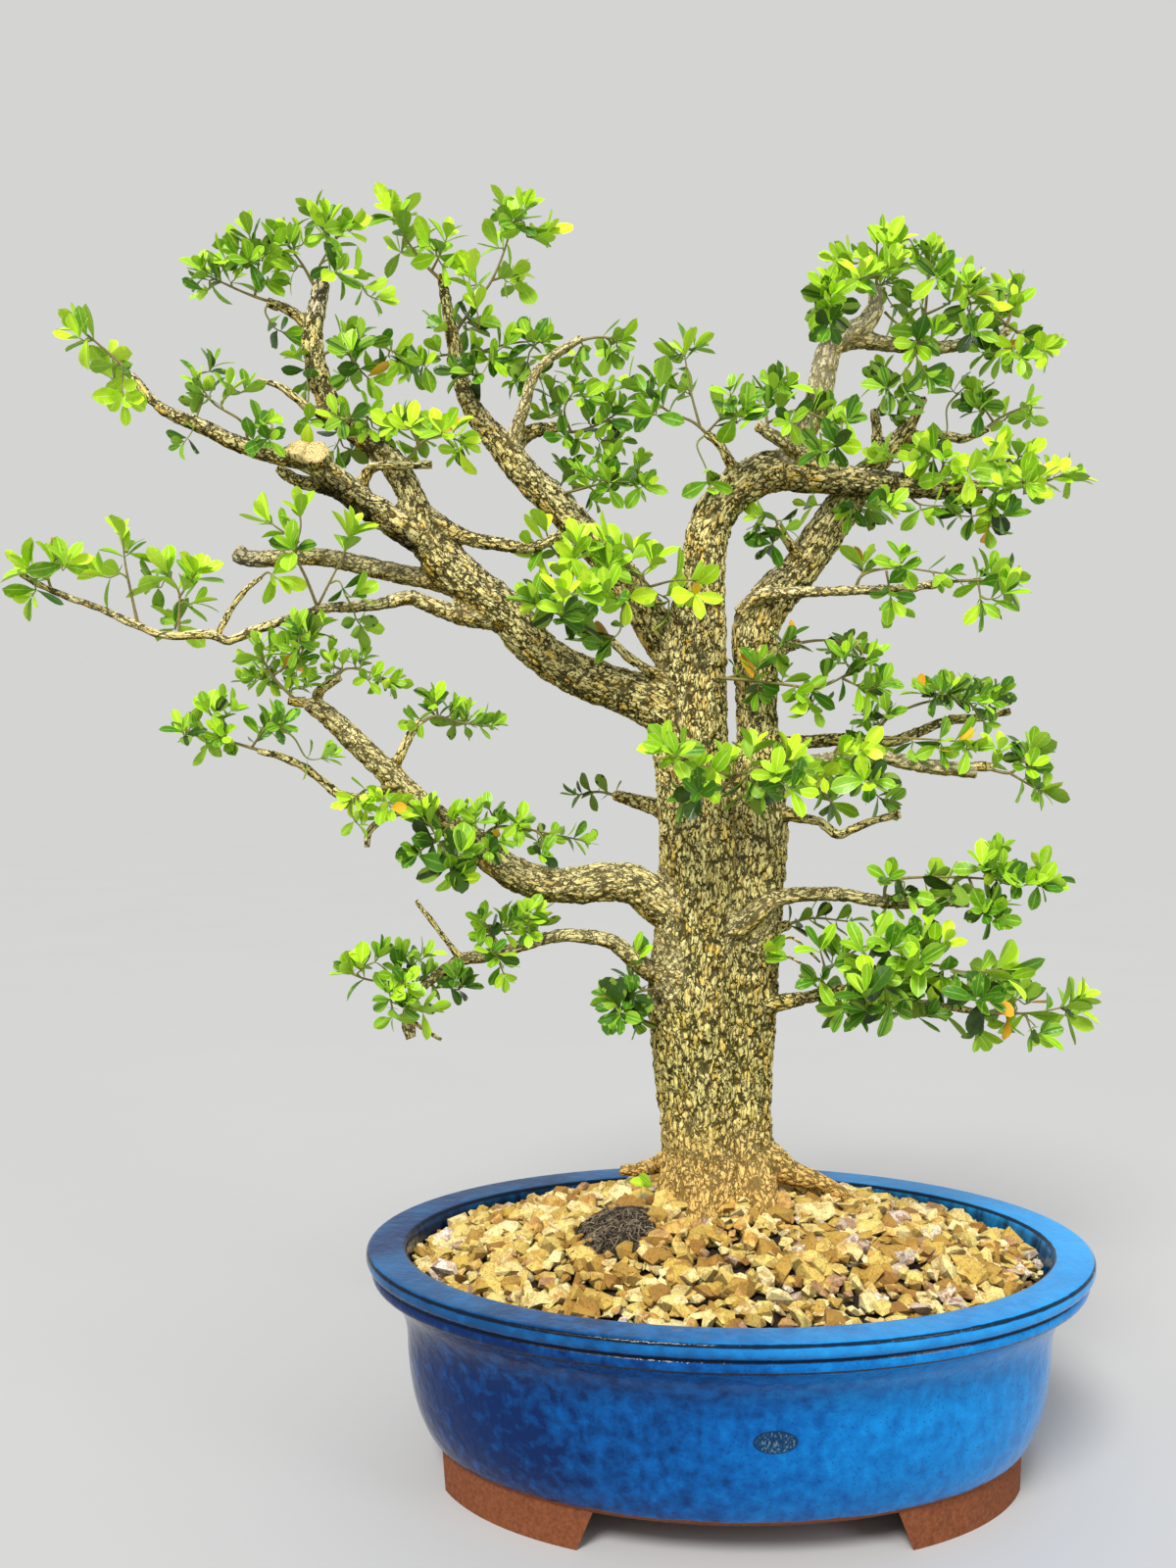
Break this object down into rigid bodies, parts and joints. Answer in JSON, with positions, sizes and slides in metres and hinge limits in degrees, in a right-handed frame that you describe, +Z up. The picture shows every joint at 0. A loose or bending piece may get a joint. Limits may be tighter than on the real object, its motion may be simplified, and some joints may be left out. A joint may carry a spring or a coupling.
{
  "type": "potted bonsai",
  "caption": "Boxwood bonsai with a thick fused double trunk, branches spreading to one side and small leaves, in an oval blue glazed pot.",
  "frame": {"origin": "middle of the bounding box, on the plane under the pot's feet", "axes": "+Z up, -Y to the front of the pot, +X to the viewer's right; the tree spreads mostly to -X"},
  "size_m": [0.6844, 0.32, 0.8288],
  "materials": {
    "glaze": "gloss",
    "soil": "matte",
    "gravel": "matte",
    "fibres": "matte",
    "bark": "matte",
    "leaves_young": "satin",
    "leaves_green": "satin",
    "leaves_old": "satin"
  },
  "bodies": {
    "root": {"pot": "glaze", "soil": "soil", "gravel": "gravel", "fibrous_clump": "fibres", "trunk_and_branches": "bark", "spray_crown_left": "leaves_green", "spray_crown_top": "leaves_young", "spray_crown_middle": "leaves_green", "spray_peak_left": "leaves_young", "spray_peak_right": "leaves_young", "spray_arm_upper": "leaves_green", "spray_arm_tip": "leaves_green", "spray_arm_low": "leaves_green", "spray_arm_twig": "leaves_green", "spray_far_left_top": "leaves_young", "spray_scar_limb": "leaves_green", "spray_scar_twig": "leaves_young", "spray_tip_shoot": "leaves_young", "spray_tall_shoot": "leaves_young", "spray_short_shoot": "leaves_young", "spray_forked_shoot": "leaves_young", "spray_shelf_left": "leaves_green", "spray_shelf_middle": "leaves_green", "spray_low_left_tip": "leaves_green", "spray_low_left_rise": "leaves_green", "spray_low_left_bright": "leaves_young", "spray_low_left_old": "leaves_old", "spray_low_left_long": "leaves_green", "spray_lowest_tip": "leaves_green", "spray_lowest_middle": "leaves_green", "spray_heart_upper": "leaves_young", "spray_heart_front": "leaves_young", "spray_trunk_tuft": "leaves_old", "spray_top_twig": "leaves_green", "spray_top_stub": "leaves_green", "spray_pale_limb_top": "leaves_young", "spray_long_arm_middle": "leaves_green", "spray_long_arm_tip": "leaves_young", "spray_inner_twig": "leaves_green", "spray_inner_right": "leaves_green", "spray_level_arm_bright": "leaves_young", "spray_level_arm_tip": "leaves_young", "spray_second_arm": "leaves_green", "spray_second_arm_tip": "leaves_green", "spray_front_twig": "leaves_green", "spray_third_arm": "leaves_green", "spray_fourth_arm": "leaves_young", "spray_fourth_arm_old": "leaves_old", "spray_fourth_arm_tip": "leaves_green", "spray_trunk_front": "leaves_young", "spray_fifth_arm": "leaves_green", "spray_mass_left": "leaves_green", "spray_mass_right": "leaves_young", "spray_mass_low": "leaves_old", "spray_mass_tip": "leaves_green", "spray_back_right_low": "leaves_old", "spray_back_left_low": "leaves_old", "spray_back_right": "leaves_old", "spray_back_left": "leaves_old"}
  },
  "joints": []
}
